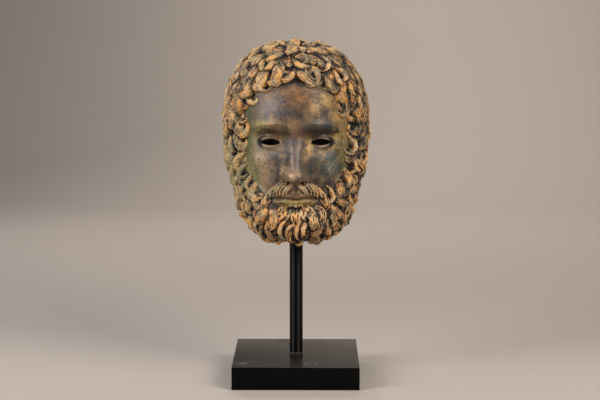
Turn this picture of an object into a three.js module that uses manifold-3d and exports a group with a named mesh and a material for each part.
// A hollow bronze mask of a bearded man with curly hair, held up by a steel rod on a square base.
// Millimetres, +Z up. The face looks to -Y, the rod stands on the Z axis and the base on Z = 0.
import * as THREE from 'three';
import { mergeVertices } from 'three/addons/utils/BufferGeometryUtils.js';
import Module from 'manifold-3d';

const wasm = await Module();
wasm.setup();

// Base and rod
const BASE_WIDTH = 160;
const BASE_HEIGHT = 29;
const BASE_EDGE = 1.2;
const ROD_RADIUS = 8.5;
const ROD_SIDES = 32;
const GAP = 0.3;

// The skull: a rounded body that is wider in its exponents than an ellipsoid
const SKULL = { y: 12, z: 326, halfWidth: 77, front: 90, back: 90, up: 91, down: 143 };
const PLAN_POWER = 2.1;
const UP_POWER = 2.4;
const DOWN_POWER = 3.3;
const JAW_NARROWING = 0.10;
const BEARD_REACH = 0.27;

// The casting: its wall, and how far the hair and the beard stand on the skull
const WALL = 5.5;
const HAIR_PAD = 8;
const BEARD_PAD = 5;
const RIM_Y = 50;
const UNDERSIDE = { y: -50, z: 176, slope: 0.38, flat: -12 };
const SOCKET = { radius: 13, bottom: 397, top: 421, depth: 11 };

// The face, on plain drawing-book proportions
const EYE = { x: 31, z: 309, half: 12.6, upper: 5.4, lower: 3.6, tilt: 0.04, wall: 3.5, floor: -57 };
const LID = { half: 14.2, upper: 6.4, lower: 4.4 };
const BROW = { z: 321.5, arch: 4.6, middle: 30, half: 33 };
const NOSE = { top: 320, tip: 269, rise: 20, base: 257.5 };
const MOUTH_Z = 240.5;
const EAR = { y: 21, z: 288, half: 28.5, depth: 16.5, flare: 22, lean: 10 };

const { abs, max, min, sin, cos, hypot, exp, sqrt, PI } = Math;
const radians = THREE.MathUtils.degToRad;
const vector = (x, y, z) => new THREE.Vector3(x, y, z);

// Small functions of shape
function smooth(low, high, x) {
  const t = min(max((x - low) / (high - low), 0), 1);
  return t * t * (3 - 2 * t);
}

function bell(x, z, cx, cz, sx, sz) {
  return exp(-(((x - cx) / sx) ** 2) - ((z - cz) / sz) ** 2);
}

function hump(x, centre, spread) {
  return exp(-(((x - centre) / spread) ** 2));
}

function blendMax(a, b, width) {
  const h = min(max(0.5 + (0.5 * (a - b)) / width, 0), 1);
  return b + (a - b) * h + width * h * (1 - h);
}

// A value read from straight stretches between pairs of [place, value]
function between(pairs, x) {
  const next = pairs.findIndex(([place]) => place >= x);
  if (next <= 0) return pairs.at(next < 0 ? -1 : 0)[1];
  const [x0, v0] = pairs[next - 1];
  const [x1, v1] = pairs[next];
  return v0 + ((v1 - v0) * (x - x0)) / (x1 - x0);
}

// A fixed number from 0 to 1 for a lock and a use
function chance(lock, use) {
  const v = sin(lock * 12.9898 + use * 78.233) * 43758.5453;
  return v - Math.floor(v);
}

// The skull's surface
const widthAt = (z) => SKULL.halfWidth * (1 - JAW_NARROWING * smooth(290, 240, z));
const frontAt = (z) => SKULL.front * (1 + BEARD_REACH * smooth(235, 198, z));

function toUnit(p) {
  const reach = p.y < SKULL.y ? frontAt(p.z) : SKULL.back;
  const height = p.z > SKULL.z ? SKULL.up : SKULL.down;
  return vector(p.x / widthAt(p.z), (p.y - SKULL.y) / reach, (p.z - SKULL.z) / height);
}

function level(p) {
  const u = toUnit(p);
  const plan = (abs(u.x) ** PLAN_POWER + abs(u.y) ** PLAN_POWER) ** (1 / PLAN_POWER);
  const power = u.z > 0 ? UP_POWER : DOWN_POWER;
  return (plan ** power + abs(u.z) ** power) ** (1 / power);
}

function onSkull(p) {
  const u = toUnit(p).divideScalar(level(p));
  const z = SKULL.z + u.z * (u.z > 0 ? SKULL.up : SKULL.down);
  const reach = u.y < 0 ? frontAt(z) : SKULL.back;
  return vector(u.x * widthAt(z), SKULL.y + reach * u.y, z);
}

function outward(p) {
  const step = 0.05;
  const slope = (axis) => {
    const ahead = p.clone();
    const behind = p.clone();
    ahead[axis] += step;
    behind[axis] -= step;
    return level(ahead) - level(behind);
  };
  return vector(slope('x'), slope('y'), slope('z')).normalize();
}

// How far the skull reaches in front of its middle at (x, z)
function depth(x, z) {
  const uz = abs(z - SKULL.z) / (z > SKULL.z ? SKULL.up : SKULL.down);
  const power = z > SKULL.z ? UP_POWER : DOWN_POWER;
  const plan = max(1 - uz ** power, 0) ** (1 / power);
  const side = abs(x) / widthAt(z);
  return max(plan ** PLAN_POWER - side ** PLAN_POWER, 0) ** (1 / PLAN_POWER) * frontAt(z);
}

// The face's features, in front of the skull. u is the distance from the middle

// An eye-shaped outline at a distance u: its middle line, its upper edge and its lower edge
function almond(u, { half, upper, lower }) {
  const s = (u - EYE.x) / half;
  const arch = max(1 - s * s, 0);
  const middle = EYE.z + EYE.tilt * (u - EYE.x);
  return {
    arch,
    middle,
    upper: middle + upper * arch ** 0.72 * (1 - 0.1 * s),
    lower: middle - lower * arch ** 0.85 * (1 + 0.12 * s),
  };
}

function foreheadAndBrow(u, z) {
  const ridge = BROW.z + BROW.arch * (1 - ((u - BROW.middle) / BROW.half) ** 2);
  const strength = 2.6 + 2.2 * hump(u, 30, 17) - 4.0 * smooth(44, 62, u);
  return 1.8 * bell(u, z, 22, 352, 22, 17) - 3.0 * bell(u, z, 64, 334, 11, 18)
    - 0.8 * bell(u, z, 0, 336, 9, 8) + strength * hump(z, ridge, z > ridge ? 8.5 : 4.6);
}

function socketsAndCheeks(u, z) {
  const fold = 19 + 13 * smooth(266, 240, z);
  return -8.0 * bell(u, z, 20, 312, 8.5, 7.5) - 5.6 * bell(u, z, 37, 313.5, 14, 7)
    - 2.4 * bell(u, z, 30, 298.5, 15, 5.5) + 4.0 * bell(u, z, 47, 286, 16, 12)
    - 2.2 * bell(u, z, 44, 257, 12, 13) + 4.5 * bell(u, z, 0, 242, 22, 20)
    - 2.0 * bell(u, z, 0, 226.5, 17, 4.2)
    - 1.2 * hump(u, fold, 3.4) * smooth(234, 242, z) * smooth(270, 262, z);
}

function withNose(f, u, z) {
  const along = min(max((NOSE.top - z) / (NOSE.top - NOSE.tip + 1), 0), 1);
  const rise = (0.35 * smooth(NOSE.top, 262, z) + 0.65 * along) * smooth(NOSE.base, 267, z);
  const width = 7.6 + smooth(300, 285, z) + 2.4 * smooth(285, 268, z);
  let sum = f + NOSE.rise * rise * exp(-0.9 * (u / width) ** 2.5);
  const tip = 9.2 ** 2 - u ** 2 - ((z - NOSE.tip) / 0.92) ** 2;
  if (tip > 0) sum = blendMax(sum, 12.4 + sqrt(tip), 2.5);
  const wing = 7 ** 2 - (u - 12) ** 2 - ((z - 266.6) / 1.06) ** 2;
  if (wing > 0) sum = blendMax(sum, 83.2 + sqrt(wing) - depth(u, z), 3);
  const crease = hump(hypot(u - 12, z - 266.5), 8.8, 1.8) * smooth(13, 17, u);
  return sum - 1.1 * crease - 6.0 * bell(u, z, 6.4, 260.8, 3.2, 2.4);
}

function mouth(u, z) {
  const line = MOUTH_Z - 0.9 * hump(u, 0, 5) + 0.7 * hump(u, 11, 7) + 0.3 * smooth(20, 27, u);
  const end = min(max(1 - (u / 26) ** 2, 0), 1);
  const upper = line + 3.4 + 0.5 * hump(u, 5, 4);
  return 1.0 * bell(u, z, 4.6, 253, 1.9, 6.5) - 0.6 * bell(u, z, 0, 253, 2.4, 6)
    + 4.0 * end ** 0.55 * hump(z, upper, 2 + 1.7 * end)
    + 4.6 * end ** 0.75 * hump(z, line - 4.4, 2 + 2.4 * end)
    - 3.2 * end ** 0.4 * hump(z, line, 1.2) - 2.0 * bell(u, z, 27.5, 240.5, 3.4, 3.2);
}

function withEyelids(f, u, z) {
  const { arch, middle, upper, lower } = almond(u, LID);
  let sum = f;
  const ball = 17 ** 2 - (u - EYE.x) ** 2 - ((z - EYE.z) / 0.86) ** 2;
  if (ball > 0) {
    const lid = 65.2 + sqrt(ball) - 0.17 * (u - EYE.x) - depth(u, z);
    const band = z > middle
      ? lid + 0.6 - 0.22 * max(z - upper - 4.6, 0) ** 1.5
      : lid - 0.8 - 0.16 * max(lower - 3.4 - z, 0) ** 1.5;
    sum = blendMax(sum, band, 2);
  }
  return sum - 1.5 * hump(z, upper + 5, 1.25) * min(arch * 1.3, 1) ** 0.5
    + 0.9 * hump(z, upper + 1.4, 1.3) * arch ** 0.3 + 0.8 * hump(z, lower - 1.3, 1.3) * arch ** 0.3;
}

function relief(x, z) {
  const u = sqrt(x * x + 2) - sqrt(2);
  const bones = foreheadAndBrow(u, z) + socketsAndCheeks(u, z);
  return withEyelids(withNose(bones, u, z) + mouth(u, z), u, z);
}

// Where hair, beard and ears are: 1 inside, 0 outside
function earArea(p) {
  const away = hypot((p.y - EAR.y) / 17, (p.z - EAR.z) / 31);
  return abs(p.x) > 40 ? smooth(1.3, 0.85, away) : 0;
}

function pad(p) {
  const height = p.z > 318 ? 66 : 150;
  const around = (abs(p.x) / 67) ** 2.5 + (abs(p.z - 318) / height) ** 2.5;
  const hair = max(smooth(0.84, 1.25, around), smooth(SKULL.y - 34, SKULL.y - 10, p.y));
  const line = 229 + 60 * (abs(p.x) / 70) ** 2.1;
  const beard = smooth(line + 4, line - 7, p.z);
  return max(HAIR_PAD * hair, BEARD_PAD * beard) * (1 - earArea(p));
}

const faceShare = (y) => smooth(SKULL.y - 8, SKULL.y - 34, y);

// The outside of the casting under the locks, and its outward direction
function skin(p) {
  const s = onSkull(p);
  const normal = outward(s);
  const point = s.clone().addScaledVector(normal, pad(s));
  point.y -= relief(s.x, s.z) * faceShare(s.y);
  return { point, normal };
}

// The inside of the wall: it follows the lowest of the outside nearby, so that the wall is never thin
const RELIEF_REACH = 5;
const PAD_REACH = 11;

function inside(p) {
  const s = onSkull(p);
  let lowestRelief = Infinity;
  let lowestPad = pad(s);
  for (let turn = 0; turn < 8; turn += 1) {
    const [across, up] = [cos((turn * PI) / 4), sin((turn * PI) / 4)];
    lowestRelief = min(lowestRelief, relief(s.x + RELIEF_REACH * across, s.z + RELIEF_REACH * up));
    lowestPad = min(lowestPad, pad(onSkull(s.clone().add(vector(PAD_REACH * across, 0, PAD_REACH * up)))));
  }
  const point = s.clone().addScaledVector(outward(s), lowestPad - WALL);
  point.y -= lowestRelief * faceShare(s.y);
  return point;
}

// Closed meshes
function solid(points, triangles) {
  const geometry = new THREE.BufferGeometry();
  geometry.setAttribute('position', new THREE.Float32BufferAttribute(points.flatMap((p) => p.toArray()), 3));
  geometry.setIndex(triangles);
  return toManifold(geometry);
}

function toManifold(geometry) {
  const bare = geometry.clone();
  bare.deleteAttribute('normal');
  bare.deleteAttribute('uv');
  const merged = mergeVertices(bare, 1e-4);
  const vertProperties = Float32Array.from(merged.attributes.position.array);
  const triVerts = Uint32Array.from(merged.index.array);
  return new wasm.Manifold(new wasm.Mesh({ numProp: 3, vertProperties, triVerts }));
}

const join = (solids) => solids.reduce((sum, next) => sum.add(next));

// Thinning: joined bodies carry many slivers along their seams. The edges whose loss moves the surface
// least are drawn together, each to the point that is nearest to all the planes that meet there

// The rim is kept flatter than the rest. A face may not become a sliver, nor turn far
const RIM_WEIGHT = 100;
const LEAST_FULLNESS = 0.02;
const LEAST_COSINE = 0.3;
const PASSES = 60;
const FIRST_LIMIT = 0.001;
const LIMIT_GROWTH = 1.25;

// The ten numbers of a plane's squared distance: a a, a b, a c, a d, b b, b c, b d, c c, c d, d d
function planeError(a, b, c) {
  const cross = b.clone().sub(a).cross(c.clone().sub(a));
  const weight = [a, b, c].every(({ y }) => abs(y - RIM_Y) < 0.01) ? RIM_WEIGHT : 1;
  const size = cross.length();
  const n = cross.divideScalar(size || 1);
  const plane = [n.x, n.y, n.z, -n.dot(a)];
  const products = [];
  for (let i = 0; i < 4; i += 1) for (let j = i; j < 4; j += 1) products.push(plane[i] * plane[j]);
  return products.map((product) => product * size * weight);
}

function errorAt(q, { x, y, z }) {
  return q[0] * x * x + q[4] * y * y + q[7] * z * z + q[9]
    + 2 * (q[1] * x * y + q[2] * x * z + q[5] * y * z + q[3] * x + q[6] * y + q[8] * z);
}

function bestPoint(q, a, b) {
  const matrix = new THREE.Matrix3().set(q[0], q[1], q[2], q[1], q[4], q[5], q[2], q[5], q[7]);
  const choices = [a, b, a.clone().lerp(b, 0.5)];
  const scale = q[0] + q[4] + q[7];
  if (matrix.determinant() > 1e-4 * scale ** 3) {
    const solved = vector(-q[3], -q[6], -q[8]).applyMatrix3(matrix.invert());
    if (solved.distanceTo(a) < 2 * a.distanceTo(b)) choices.push(solved);
  }
  const errors = choices.map((choice) => errorAt(q, choice));
  const least = errors.indexOf(min(...errors));
  return { point: choices[least].clone(), error: errors[least] };
}

class Thinner {
  constructor(manifold) {
    const { vertProperties, triVerts } = manifold.getMesh();
    this.points = [];
    for (let i = 0; i < vertProperties.length; i += 3) this.points.push(vector(...vertProperties.slice(i, i + 3)));
    this.faces = [];
    for (let i = 0; i < triVerts.length; i += 3) this.faces.push([...triVerts.slice(i, i + 3)]);
    this.around = this.points.map(() => new Set());
    this.faces.forEach((face, index) => face.forEach((corner) => this.around[corner].add(index)));
    this.dropPockets();
    const none = Array(10).fill(0);
    this.errors = this.points.map((_, corner) => [...this.around[corner]]
      .map((index) => planeError(...this.faces[index].map((v) => this.points[v])))
      .reduce((sum, next) => sum.map((value, i) => value + next[i]), none));
  }

  // Small gaps closed in between locks are filled: only the largest connected surface is kept
  dropPockets() {
    const group = this.faces.map(() => -1);
    const sizes = [];
    this.faces.forEach((_, start) => {
      if (group[start] >= 0) return;
      const waiting = [start];
      group[start] = sizes.length;
      let size = 0;
      while (waiting.length > 0) {
        size += 1;
        for (const corner of this.faces[waiting.pop()]) {
          for (const index of this.around[corner]) {
            if (group[index] < 0) {
              group[index] = sizes.length;
              waiting.push(index);
            }
          }
        }
      }
      sizes.push(size);
    });
    this.count = max(...sizes);
    this.faces.forEach((face, index) => {
      if (sizes[group[index]] === this.count) return;
      face.forEach((corner) => this.around[corner].delete(index));
      this.faces[index] = null;
    });
  }

  neighbours(corner) {
    return new Set([...this.around[corner]].flatMap((index) => this.faces[index]).filter((v) => v !== corner));
  }

  // Whether every face round a, but those it shares with b, keeps its side when a moves to the point
  keepsSides(a, b, point) {
    return [...this.around[a]].every((index) => {
      const face = this.faces[index];
      if (face.includes(b)) return true;
      const before = face.map((v) => this.points[v]);
      const after = face.map((v) => (v === a ? point : this.points[v]));
      const normal = ([p, q, r]) => q.clone().sub(p).cross(r.clone().sub(p));
      const [old, fresh] = [normal(before), normal(after)];
      const longest = max(after[0].distanceTo(after[1]), after[1].distanceTo(after[2]), after[2].distanceTo(after[0]));
      return fresh.length() > LEAST_FULLNESS * longest ** 2
        && fresh.normalize().dot(old.normalize()) > LEAST_COSINE;
    });
  }

  draw(a, b, point) {
    for (const index of [...this.around[b]]) {
      const face = this.faces[index];
      if (face.includes(a)) {
        face.forEach((v) => this.around[v].delete(index));
        this.faces[index] = null;
        this.count -= 1;
      } else {
        face[face.indexOf(b)] = a;
        this.around[a].add(index);
      }
    }
    this.around[b].clear();
    this.points[a] = point;
    this.errors[a] = this.errors[a].map((value, i) => value + this.errors[b][i]);
  }

  tryEdge(a, b, limit) {
    const sum = this.errors[a].map((value, i) => value + this.errors[b][i]);
    const { point, error } = bestPoint(sum, this.points[a], this.points[b]);
    if (error > limit) return false;
    const beside = this.neighbours(b);
    if ([...this.neighbours(a)].filter((v) => beside.has(v)).length !== 2) return false;
    if (!this.keepsSides(a, b, point) || !this.keepsSides(b, a, point)) return false;
    this.draw(a, b, point);
    return true;
  }

  // Passes over all edges with a limit that grows, until few enough faces are left
  run(target) {
    for (let pass = 0; pass < PASSES && this.count > target; pass += 1) {
      const limit = FIRST_LIMIT * LIMIT_GROWTH ** pass;
      for (let index = 0; index < this.faces.length && this.count > target; index += 1) {
        for (let side = 0; side < 3 && this.faces[index]; side += 1) {
          const [a, b] = [this.faces[index][side], this.faces[index][(side + 1) % 3]];
          if (a < b && this.tryEdge(a, b, limit)) break;
        }
      }
    }
    return this;
  }

  // Corners that meet by chance are moved a little apart, so that the surface stays one sheet there
  partCorners() {
    const near = 0.02;
    const taken = new Set();
    this.points.forEach((point, corner) => {
      if (this.around[corner].size === 0) return;
      const place = () => point.toArray().map((value) => Math.round(value / near)).join();
      while (taken.has(place())) {
        const [a, b, c] = this.faces[[...this.around[corner]][0]].map((v) => this.points[v]);
        const away = b.clone().add(c).add(a).divideScalar(3).sub(point);
        point.add(away.length() > near ? away.setLength(2 * near) : vector(2 * near, 0, 0));
      }
      taken.add(place());
    });
    return this;
  }

  geometry() {
    const used = this.points.map((_, corner) => corner).filter((corner) => this.around[corner].size > 0);
    const renumbered = new Map(used.map((corner, index) => [corner, index]));
    const geometry = new THREE.BufferGeometry();
    const flat = used.flatMap((corner) => this.points[corner].toArray());
    geometry.setAttribute('position', new THREE.Float32BufferAttribute(flat, 3));
    geometry.setIndex(this.faces.filter(Boolean).flatMap((face) => face.map((v) => renumbered.get(v))));
    return geometry;
  }
}

// A ball of columns and rows, with its points moved by place()
function ball(columns, rises, place) {
  const middle = vector(0, SKULL.y, SKULL.z);
  const toward = (turn, rise) => {
    const direction = vector(cos(rise) * sin(turn), -cos(rise) * cos(turn), sin(rise));
    direction.z *= direction.z > 0 ? SKULL.up / SKULL.front : SKULL.down / SKULL.front;
    return place(direction.multiplyScalar(SKULL.front).add(middle));
  };
  const points = [toward(0, -PI / 2), toward(0, PI / 2)];
  const triangles = [];
  const at = (row, column) => 2 + row * columns + (column % columns);
  rises.forEach((rise, row) => {
    for (let column = 0; column < columns; column += 1) {
      points.push(toward((2 * PI * column) / columns, rise));
      if (row === 0) triangles.push(0, at(0, column + 1), at(0, column));
      else {
        const [a, b] = [at(row - 1, column), at(row - 1, column + 1)];
        const [c, d] = [at(row, column + 1), at(row, column)];
        triangles.push(a, b, c, a, c, d);
      }
      if (row === rises.length - 1) triangles.push(1, at(row, column), at(row, column + 1));
    }
  });
  return solid(points, triangles);
}

const elevations = (count) => Array.from({ length: count }, (_, i) => radians(-90 + (180 * (i + 1)) / (count + 1)));

// The shell under the hair. Over the bare face it keeps back, and the face's own body shows there
const FACE_DROP = 7;
const FULLY_HAIR = 4;

function shellPoint(p) {
  const s = onSkull(p);
  const raised = pad(s);
  const bare = (1 - min(raised / FULLY_HAIR, 1)) * faceShare(s.y);
  return s.clone().addScaledVector(outward(s), raised - FACE_DROP * bare);
}

// The face: a body whose front is the skull with the features on it, in a fine grid
const FACE = { low: 224, high: 396, middle: 305, half: 61, halfHeight: 96, back: -22, columns: 34, rows: 38 };

function face() {
  const { columns, rows } = FACE;
  const points = [];
  const triangles = [];
  const at = (row, column, layer) => layer * (rows + 1) * (columns + 1) + row * (columns + 1) + column;
  for (const layer of [0, 1]) {
    for (let row = 0; row <= rows; row += 1) {
      const z = FACE.low + ((FACE.high - FACE.low) * row) / rows;
      const half = FACE.half * (1 - ((z - FACE.middle) / FACE.halfHeight) ** 4) ** 0.25;
      for (let column = 0; column <= columns; column += 1) {
        const x = half * (-1 + (2 * column) / columns);
        points.push(vector(x, layer === 0 ? SKULL.y - depth(x, z) - relief(x, z) : FACE.back, z));
      }
    }
  }
  const quad = (a, b, c, d) => triangles.push(a, b, c, a, c, d);
  for (let row = 0; row < rows; row += 1) {
    for (let column = 0; column < columns; column += 1) {
      quad(at(row, column, 0), at(row, column + 1, 0), at(row + 1, column + 1, 0), at(row + 1, column, 0));
      quad(at(row, column, 1), at(row + 1, column, 1), at(row + 1, column + 1, 1), at(row, column + 1, 1));
    }
    quad(at(row, 0, 0), at(row + 1, 0, 0), at(row + 1, 0, 1), at(row, 0, 1));
    quad(at(row, columns, 0), at(row, columns, 1), at(row + 1, columns, 1), at(row + 1, columns, 0));
  }
  for (let column = 0; column < columns; column += 1) {
    quad(at(0, column, 0), at(0, column, 1), at(0, column + 1, 1), at(0, column + 1, 0));
    quad(at(rows, column, 0), at(rows, column + 1, 0), at(rows, column + 1, 1), at(rows, column, 1));
  }
  return solid(points, triangles);
}

// A body swept along stations of { point, normal, side, width, lift }, sharp at both ends. Its section
// is a list of [share of the half width, share of the lift], and its underside is buried in the skin
const BURIED = 1.6;
const SECTION = [[-1, 0], [-0.62, 0.86], [0, 1], [0.62, 0.86], [1, 0]];

function ridge(stations) {
  const points = [];
  const triangles = [];
  const [first, last] = [stations[0], stations.at(-1)];
  points.push(first.point.clone().addScaledVector(first.normal, -BURIED));
  points.push(last.point.clone().addScaledVector(last.normal, last.lift * 0.4));
  const middle = stations.slice(1, -1);
  for (const { point, normal, side, width, lift } of middle) {
    for (const [across, up] of SECTION) {
      points.push(point.clone().addScaledVector(side, (across * width) / 2)
        .addScaledVector(normal, up * (lift + BURIED) - BURIED));
    }
  }
  const corners = SECTION.length;
  const at = (station, corner) => 2 + station * corners + (corner % corners);
  const end = middle.length - 1;
  for (let corner = 0; corner < corners; corner += 1) {
    triangles.push(0, at(0, corner), at(0, corner + 1));
    triangles.push(1, at(end, corner + 1), at(end, corner));
    for (let station = 0; station < end; station += 1) {
      const [a, b] = [at(station, corner), at(station, corner + 1)];
      const [c, d] = [at(station + 1, corner + 1), at(station + 1, corner)];
      triangles.push(a, d, c, a, c, b);
    }
  }
  return solid(points, triangles);
}

// Locks of hair and beard, in rings round the face. Angles are in degrees: "round" is measured from the
// top of the head, "from" is measured at the face's middle, away from the line of sight
const FACE_MIDDLE = { z: 312, radius: 95 };
const EDGE = [[0, 46], [35, 48], [70, 55], [95, 60], [115, 58], [140, 51], [160, 49], [180, 48]];
const FLOW = [[0, 38], [20, 52], [60, 74], [90, 92], [130, 128], [160, 158], [180, 176]];
const HAIR = { step: 13.5, gap: 18.5, length: 44, width: 17, height: 9.5, turn: 235 };
const BEARD = { step: 11.5, gap: 14.5, length: 33, width: 12.5, height: 8, turn: 225 };
const RINGS = 12;
const LAST_RING = 130;

function lockSize(key, round) {
  const share = smooth(98, 122, round);
  return HAIR[key] * (1 - share) + BEARD[key] * share;
}

function ringPoint(from, round) {
  const [f, r] = [radians(from), radians(round)];
  const direction = vector(sin(f) * sin(r), -cos(f), sin(f) * cos(r));
  return onSkull(direction.multiplyScalar(FACE_MIDDLE.radius).add(vector(0, SKULL.y, FACE_MIDDLE.z)));
}

function ringPlaces() {
  const places = [];
  for (let ring = 0; ring < RINGS; ring += 1) {
    for (const side of [1, -1]) {
      let round = ring % 2 === 0 ? 8 : 0;
      while (round < 180) {
        const ringStep = THREE.MathUtils.radToDeg(lockSize('step', round) / FACE_MIDDLE.radius);
        const from = between(EDGE, round) + 3 + ring * ringStep;
        if (from < LAST_RING && !(side === -1 && round === 0)) places.push({ ring, side, round, from });
        const radius = FACE_MIDDLE.radius * max(sin(radians(min(from, 150))), 0.35);
        round += THREE.MathUtils.radToDeg(lockSize('gap', round) / radius);
      }
    }
  }
  return places;
}

function undersideAt(y) {
  return UNDERSIDE.z + UNDERSIDE.slope * max(y - UNDERSIDE.y, UNDERSIDE.flat);
}

// Each lock's middle, the way it points and its sizes
function lockSeeds() {
  const margin = 4;
  const seeds = ringPlaces().map(({ ring, side, round, from }, index) => {
    const turned = round + (chance(index, 1) - 0.5) * 4;
    const moved = from + (chance(index, 2) - 0.5) * 3;
    const middle = ringPoint(moved, side * turned);
    const away = ringPoint(moved + 0.5, side * turned).sub(middle).normalize();
    const sideways = ringPoint(moved, side * turned + 0.5).sub(middle).normalize().multiplyScalar(side);
    const angle = radians(between(FLOW, round) + (chance(index, 3) - 0.5) * 40);
    const heading = away.multiplyScalar(-cos(angle)).addScaledVector(sideways, sin(angle)).normalize();
    const mirrored = (ring + (chance(index, 5) > 0.72 ? 1 : 0)) % 2 === 0;
    return {
      middle,
      heading,
      hand: mirrored ? side : -side,
      length: lockSize('length', round) * (0.86 + 0.3 * chance(index, 4)),
      width: lockSize('width', round) * (0.9 + 0.2 * chance(index, 6)),
      height: lockSize('height', round) * (0.88 + 0.24 * chance(index, 7)),
      turn: radians(lockSize('turn', round) * (0.8 + 0.4 * chance(index, 8))),
    };
  });
  return seeds.filter(({ middle }) => middle.y <= RIM_Y - margin
    && middle.z >= undersideAt(middle.y) + margin && earArea(middle) <= 0.25);
}

// A lock winds over the skin, tighter towards its tip. Its root lies a share of its length before its middle
const FINE_STEPS = 24;
const STATIONS = 9;
const BACK_STEPS = 6;
const BEFORE_MIDDLE = 0.4;
const ROOT_TURN = 32;
const BEND = { start: 0.25, growth: 2.6, mean: 1.117 };

function lockStations({ middle, heading, hand, length, width, height, turn }) {
  let point = middle.clone();
  let normal = outward(point);
  const along = heading.clone();
  const settle = () => {
    normal = outward(point);
    along.addScaledVector(normal, -along.dot(normal)).normalize();
  };
  settle();
  along.applyAxisAngle(normal, -hand * radians(ROOT_TURN));
  for (let step = 0; step < BACK_STEPS; step += 1) {
    point = onSkull(point.addScaledVector(along, (-length * BEFORE_MIDDLE) / BACK_STEPS));
    settle();
  }
  const stations = [];
  const every = FINE_STEPS / (STATIONS - 1);
  for (let step = 0; step <= FINE_STEPS; step += 1) {
    if (step % every === 0) {
      const t = step / FINE_STEPS;
      const place = skin(point);
      stations.push({
        ...place,
        side: new THREE.Vector3().crossVectors(place.normal, along),
        width: width * (0.42 + 0.58 * smooth(0, 0.35, t)) * (1 - 0.8 * smooth(0.6, 1, t)),
        lift: height * (0.3 + 0.7 * smooth(0, 0.5, t)) * (1 - 0.3 * smooth(0.75, 1, t)),
      });
    }
    const share = (step + 0.5) / FINE_STEPS;
    const bend = (hand * (BEND.start + BEND.growth * share ** 2) * turn) / BEND.mean / FINE_STEPS;
    along.applyAxisAngle(normal, bend / 2);
    point = onSkull(point.clone().addScaledVector(along, length / FINE_STEPS));
    settle();
    along.applyAxisAngle(normal, bend / 2);
  }
  return stations;
}

// A strand along a curve of [x, z] on the face
const STRAND_STATIONS = 7;

function strand(places, width, height) {
  const curve = new THREE.SplineCurve(places.map(([x, z]) => new THREE.Vector2(x, z)));
  const on = Array.from({ length: STRAND_STATIONS }, (_, index) => {
    const t = index / (STRAND_STATIONS - 1);
    const { x, y: z } = curve.getPoint(t);
    return { t, ...skin(vector(x, SKULL.y - depth(x, z), z)) };
  });
  return ridge(on.map(({ t, point, normal }, index) => {
    const after = on[min(index + 1, on.length - 1)].point;
    const before = on[max(index - 1, 0)].point;
    const along = after.clone().sub(before).normalize();
    return {
      point,
      normal,
      side: new THREE.Vector3().crossVectors(normal, along).normalize(),
      width: width * (0.35 + 0.65 * smooth(0, 0.25, t)) * (1 - 0.75 * smooth(0.55, 1, t)),
      lift: height * (0.45 + 0.55 * smooth(0, 0.3, t)) * (1 - 0.45 * smooth(0.6, 1, t)),
    };
  }));
}

const mirrored = (places, side) => places.map(([x, z]) => [side * x, z]);

// Each wing of the moustache: three strands side by side, from under the nose to past the mouth's corner
const WING = { upper: [[2, 258], [14, 260], [27, 254], [36, 243], [41, 228], [43, 214]],
  lower: [[3, 248], [12, 247.5], [23, 243.5], [30.5, 233], [34, 219], [36, 205]] };

function moustache() {
  const shares = [0.15, 0.5, 0.85];
  return [1, -1].flatMap((side) => shares.map((share) => {
    const places = WING.upper.map(([x, z], i) => {
      const [lowX, lowZ] = WING.lower[i];
      return [x + (lowX - x) * share, z + (lowZ - z) * share];
    });
    return strand(mirrored(places, side), 6.5, 6.2);
  }));
}

// The tuft under the lower lip fans out from the middle, in two tiers
function chinTuft() {
  const tiers = [{ z: 229, drop: 17, count: 3 }, { z: 219, drop: 17, count: 2 }];
  return [1, -1].flatMap((side) => tiers.flatMap(({ z, drop, count }) => Array.from({ length: count }, (_, i) => {
    const x = 2.5 + 6.5 * i;
    const top = z - 0.012 * x * x;
    const places = [[x, top], [x * 1.05 + 1.5, top - drop * 0.45], [x * 1.25 + 5.5, top - drop]];
    return strand(mirrored(places, side), 8.5, 5.5);
  })));
}

// An ear: an egg-shaped plate with a rolled rim and a bowl
function earHeight(up, back, r) {
  const turn = THREE.MathUtils.radToDeg(Math.atan2(back, up));
  const rim = smooth(-100, -60, turn) * smooth(150, 118, turn);
  return (3.2 + 3.2 * hump(r, 0.9, 0.1) * rim - 2.2 * hump(r, 0.72, 0.08) * rim
    - 6.0 * bell(up, back, -0.08, -0.08, 0.3, 0.3) + 2.8 * bell(up, back, -0.16, -0.62, 0.13, 0.18)
    + 1.6 * bell(up, back, -0.8, 0, 0.22, 0.4)) * smooth(1.02, 0.93, r);
}

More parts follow.
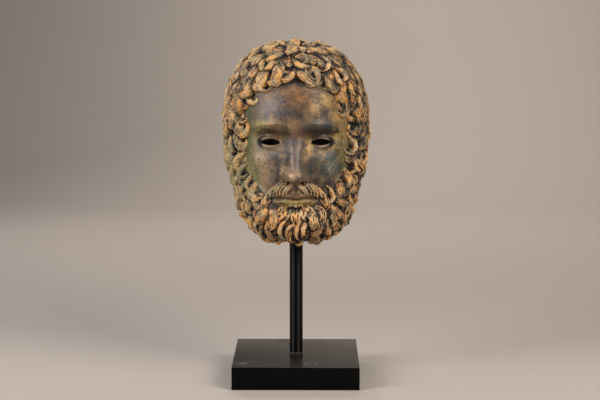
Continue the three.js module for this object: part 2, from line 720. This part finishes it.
function ear(side) {
  const spokes = 18;
  const circles = [0.45, 0.7, 0.88, 1];
  const flare = radians(EAR.flare);
  const backward = vector(side * sin(flare), cos(flare), 0);
  const outwards = vector(side * cos(flare), -sin(flare), 0);
  const upward = vector(0, sin(radians(EAR.lean)), cos(radians(EAR.lean)));
  const middle = vector(side * (SKULL.halfWidth + 1.5), EAR.y, EAR.z);
  const place = (turn, r, size, height) => {
    const narrowing = 1 - 0.2 * smooth(0.55, 1, -cos(turn));
    const across = EAR.depth * (1 + 0.1 * cos(turn)) * (sin(turn) > 0 ? 1 : 0.86) * narrowing;
    return middle.clone()
      .addScaledVector(backward, r * size * sin(turn) * across)
      .addScaledVector(upward, r * size * cos(turn) * EAR.half)
      .addScaledVector(outwards, height);
  };
  const points = [place(0, 0, 1, earHeight(0, 0, 0)), place(0, 0, 1, -9)];
  const triangles = [];
  const rings = circles.length;
  const at = (ring, spoke) => 2 + ring * spokes + (spoke % spokes);
  const levels = [...circles.map((r) => [r, 1, (turn) => earHeight(r * cos(turn), r * sin(turn), r)]),
    [1, 0.9, () => -3], [0.5, 0.9, () => -7]];
  levels.forEach(([r, size, height], ring) => {
    for (let spoke = 0; spoke < spokes; spoke += 1) {
      const turn = (2 * PI * spoke) / spokes;
      points.push(place(turn, r, size, height(turn)));
      if (ring === 0) triangles.push(0, at(0, spoke), at(0, spoke + 1));
      else {
        const [a, b] = [at(ring - 1, spoke), at(ring - 1, spoke + 1)];
        const [c, d] = [at(ring, spoke + 1), at(ring, spoke)];
        triangles.push(a, d, c, a, c, b);
      }
      if (ring === rings + 1) triangles.push(1, at(ring, spoke + 1), at(ring, spoke));
    }
  });
  return orient(points, triangles, side);
}

// A mirrored body has its faces turned round again
function orient(points, triangles, side) {
  if (side > 0) return solid(points, triangles);
  const turned = [];
  for (let i = 0; i < triangles.length; i += 3) turned.push(triangles[i], triangles[i + 2], triangles[i + 1]);
  return solid(points, turned);
}

// Cuts: the flat back, the slanted underside, the deep eye sockets and the rod's socket. The bodies that
// cut reach well past the mask on every side
const BEYOND = { side: 150, front: -130, behind: 250, floor: 60, top: 500 };

function block(from, to) {
  const size = to.clone().sub(from);
  const geometry = new THREE.BoxGeometry(size.x, size.y, size.z);
  geometry.translate((from.x + to.x) / 2, (from.y + to.y) / 2, (from.z + to.z) / 2);
  return toManifold(geometry);
}

function behindRim() {
  return block(vector(-BEYOND.side, RIM_Y, BEYOND.floor), vector(BEYOND.side, BEYOND.behind, BEYOND.top));
}

// A prism across X between -half and half, of an outline of [y, z]
function prismAcross(outline, half) {
  const shape = new THREE.Shape(outline.map(([y, z]) => new THREE.Vector2(y, z)));
  const geometry = new THREE.ExtrudeGeometry(shape, { depth: 2 * half, bevelEnabled: false });
  const turn = new THREE.Matrix4().makeBasis(vector(0, 1, 0), vector(0, 0, 1), vector(1, 0, 0));
  geometry.applyMatrix4(turn);
  geometry.translate(-half, 0, 0);
  return toManifold(geometry);
}

function belowUnderside() {
  const start = UNDERSIDE.y + UNDERSIDE.flat;
  const past = RIM_Y + 10;
  const { side, front, floor } = BEYOND;
  return prismAcross([[front, floor], [past, floor], [past, undersideAt(past)],
    [start, undersideAt(start)], [front, undersideAt(start)]], side);
}

// A prism along Y with the outline of an eye, grown all round by grow
function eyePrism(side, grow, front, back) {
  const points = 7;
  const size = { half: EYE.half + grow, upper: EYE.upper + grow, lower: EYE.lower + grow };
  const above = [];
  const below = [];
  for (let i = 0; i < points; i += 1) {
    const x = EYE.x + size.half * (-1 + (2 * i) / (points - 1));
    const { upper, lower } = almond(x, size);
    above.push(new THREE.Vector2(side * x, upper));
    if (i > 0 && i < points - 1) below.unshift(new THREE.Vector2(side * x, lower));
  }
  const shape = new THREE.Shape([...above, ...below]);
  const geometry = new THREE.ExtrudeGeometry(shape, { depth: back - front, bevelEnabled: false });
  geometry.rotateX(PI / 2);
  geometry.translate(0, back, 0);
  return toManifold(geometry);
}

const eyeSocket = (side) => eyePrism(side, 0, BEYOND.front, EYE.floor);
const eyeCup = (side) => eyePrism(side, EYE.wall, BEYOND.front, EYE.floor + EYE.wall);

function upright(radius, bottom, top) {
  const geometry = new THREE.CylinderGeometry(radius, radius, top - bottom, ROD_SIDES);
  geometry.rotateX(PI / 2);
  geometry.translate(0, 0, (bottom + top) / 2);
  return geometry;
}

const MASK_TRIANGLES = 9500;
const ROD_TOP = SOCKET.bottom + SOCKET.depth - GAP;

function maskGeometry() {
  const outer = ball(28, elevations(15), shellPoint).add(face());
  const cavity = ball(24, elevations(17), inside).subtract(eyeCup(1)).subtract(eyeCup(-1));
  const locks = lockSeeds().map((seed) => ridge(lockStations(seed)));
  const added = [...locks, ...moustache(), ...chinTuft(), ear(1), ear(-1)];
  const full = join([outer, ...added]).subtract(cavity);
  const cut = full.subtract(behindRim()).subtract(belowUnderside());
  const pierced = cut.subtract(eyeSocket(1)).subtract(eyeSocket(-1));
  const thinned = toManifold(new Thinner(pierced).run(MASK_TRIANGLES).geometry());
  const boss = toManifold(upright(SOCKET.radius, SOCKET.bottom, SOCKET.top));
  const bore = toManifold(upright(ROD_RADIUS + GAP, SOCKET.bottom - 1, SOCKET.bottom + SOCKET.depth));
  return new Thinner(thinned.add(boss).subtract(bore)).partCorners().geometry();
}

function baseGeometry() {
  const half = BASE_WIDTH / 2 - BASE_EDGE;
  const shape = new THREE.Shape([[-half, -half], [half, -half], [half, half], [-half, half]]
    .map(([x, y]) => new THREE.Vector2(x, y)));
  const geometry = new THREE.ExtrudeGeometry(shape, {
    depth: BASE_HEIGHT - 2 * BASE_EDGE,
    bevelThickness: BASE_EDGE,
    bevelSize: BASE_EDGE,
    bevelSegments: 2,
  });
  geometry.translate(0, 0, BASE_EDGE);
  return geometry;
}

const bronze = new THREE.MeshStandardMaterial({ color: 0x8a6f45, metalness: 0.6, roughness: 0.6 });
const blackSteel = new THREE.MeshStandardMaterial({ color: 0x17171a, metalness: 0.4, roughness: 0.4 });
const blackLacquer = new THREE.MeshStandardMaterial({ color: 0x0e0c0c, metalness: 0, roughness: 0.15 });

function named(name, geometry, material) {
  const mesh = new THREE.Mesh(geometry, material);
  mesh.name = name;
  return mesh;
}

const maskOnRod = new THREE.Group();
maskOnRod.add(
  named('mask', maskGeometry(), bronze),
  named('rod', upright(ROD_RADIUS, BASE_HEIGHT + GAP, ROD_TOP), blackSteel),
  named('base', baseGeometry(), blackLacquer),
);

export default maskOnRod;
